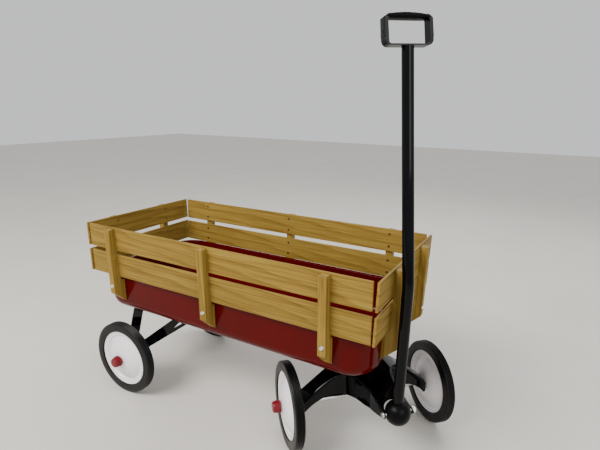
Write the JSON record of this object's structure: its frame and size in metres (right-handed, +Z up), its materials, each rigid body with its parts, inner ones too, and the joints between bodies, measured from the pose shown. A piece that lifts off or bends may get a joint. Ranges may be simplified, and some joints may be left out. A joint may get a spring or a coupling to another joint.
{
  "type": "pull wagon",
  "caption": "Child's pull wagon: pressed steel tray with slatted wooden sides, disc wheels, a steered front yoke and a folding pull handle.",
  "frame": {"origin": "on the ground, under the middle of the wagon's bounding box at rest", "axes": "+X forward towards the pull handle, +Y to the wagon's left, +Z up; the front axle rests 44 degrees to the right of straight ahead and the handle stands up"},
  "size_m": [1.0485, 0.497, 1.0365],
  "materials": {
    "red_enamel": "gloss",
    "wood": "satin varnish",
    "black_enamel": "gloss",
    "white_enamel": "gloss",
    "tyre_rubber": "satin",
    "zinc": "zinc plated",
    "dark_screws": "blackened",
    "red_plastic": "gloss",
    "black_plastic": "gloss",
    "nylon": "matte"
  },
  "bodies": {
    "wagon": {"axle_rear": "zinc", "axle_spacers_rear": "zinc", "hub_caps_rear": "red_plastic", "king_bolt": "zinc", "king_nut": "zinc", "rear_brace_left": "black_enamel", "rear_brace_right": "black_enamel", "rear_nuts": "zinc", "rear_strap": "black_enamel", "rear_studs": "zinc", "slat_front_lower": "wood", "slat_front_upper": "wood", "slat_left_lower": "wood", "slat_left_upper": "wood", "slat_rear_lower": "wood", "slat_rear_upper": "wood", "slat_right_lower": "wood", "slat_right_upper": "wood", "slat_screws": "dark_screws", "stake_bolts": "zinc", "stake_front_left": "wood", "stake_front_right": "wood", "stake_left_front": "wood", "stake_left_middle": "wood", "stake_left_rear": "wood", "stake_nuts": "zinc", "stake_rear_left": "wood", "stake_rear_right": "wood", "stake_right_front": "wood", "stake_right_middle": "wood", "stake_right_rear": "wood", "tray": "red_enamel", "turntable_dish": "black_enamel", "turntable_nuts": "zinc", "turntable_studs": "zinc", "turntable_washer": "nylon"},
    "steering": {"yoke": "black_enamel", "axle_front": "zinc", "axle_spacers_front": "zinc", "hub_caps_front": "red_plastic", "pivot_bolt": "zinc", "pivot_nut": "zinc"},
    "handle": {"pole": "black_enamel", "ball_cover": "black_plastic", "hand_loop": "black_enamel", "hand_grip": "black_plastic", "loop_rivets": "black_enamel"},
    "wheel_front_right": {"tyre_front_right": "tyre_rubber", "wheel_front_right": "white_enamel", "bush_front_right": "nylon"},
    "wheel_front_left": {"tyre_front_left": "tyre_rubber", "wheel_front_left": "white_enamel", "bush_front_left": "nylon"},
    "wheel_rear_right": {"tyre_rear_right": "tyre_rubber", "wheel_rear_right": "white_enamel", "bush_rear_right": "nylon"},
    "wheel_rear_left": {"tyre_rear_left": "tyre_rubber", "wheel_rear_left": "white_enamel", "bush_rear_left": "nylon"}
  },
  "joints": [
    {"name": "steer", "type": "hinge", "parent": "wagon", "child": "steering", "pos_m": [0.2961, 0, 0.209], "axis": [0, 0, 1], "range_deg": [-6, 94]},
    {"name": "handle_fold", "type": "hinge", "parent": "steering", "child": "handle", "pos_m": [0.43277, -0.13199, 0.185], "axis": [0.6947, 0.7193, 0], "range_deg": [0, 104]},
    {"name": "spin_front_right", "type": "hinge", "parent": "steering", "child": "wheel_front_right", "pos_m": [0.2961, 0, 0.111], "axis": [0.6947, 0.7193, 0], "continuous": true},
    {"name": "spin_front_left", "type": "hinge", "parent": "steering", "child": "wheel_front_left", "pos_m": [0.2961, 0, 0.111], "axis": [0.6947, 0.7193, 0], "continuous": true},
    {"name": "spin_rear_right", "type": "hinge", "parent": "wagon", "child": "wheel_rear_right", "pos_m": [-0.3895, 0, 0.111], "axis": [0, 1, 0], "continuous": true},
    {"name": "spin_rear_left", "type": "hinge", "parent": "wagon", "child": "wheel_rear_left", "pos_m": [-0.3895, 0, 0.111], "axis": [0, 1, 0], "continuous": true}
  ]
}
